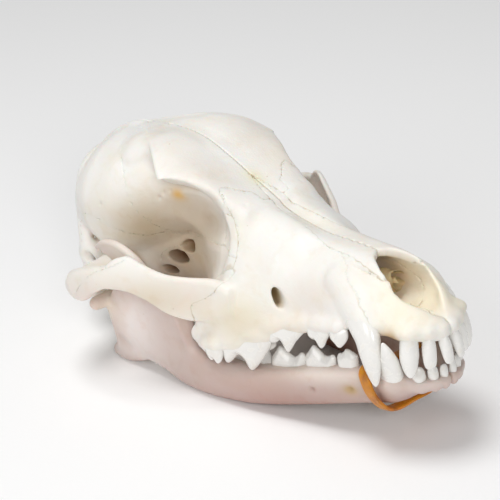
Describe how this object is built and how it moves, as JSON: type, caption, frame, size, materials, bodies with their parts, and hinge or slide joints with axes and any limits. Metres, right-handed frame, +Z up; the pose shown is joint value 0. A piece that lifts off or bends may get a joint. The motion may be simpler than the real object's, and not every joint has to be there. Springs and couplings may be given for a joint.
{
  "type": "dog skull",
  "caption": "Life-size skull of a medium-muzzled dog with its lower jaw closed under it, full teeth, open orbits and nasal opening, and an elastic band round the chin.",
  "frame": {"origin": "on the floor, under the middle of the skull's bounding box", "axes": "+Z up, +X towards the nose, +Y towards the animal's left"},
  "size_m": [0.1666, 0.0978, 0.0749],
  "materials": {
    "bone": "matte",
    "jaw_bone": "matte",
    "teeth": "satin",
    "rubber": "satin"
  },
  "bodies": {
    "root": {"braincase": "bone", "muzzle": "bone", "nasal_left": "bone", "nasal_right": "bone", "cheekbone_left": "bone", "cheekbone_right": "bone", "mandible_left": "jaw_bone", "mandible_right": "jaw_bone", "rubber_band": "rubber"}
  },
  "joints": []
}
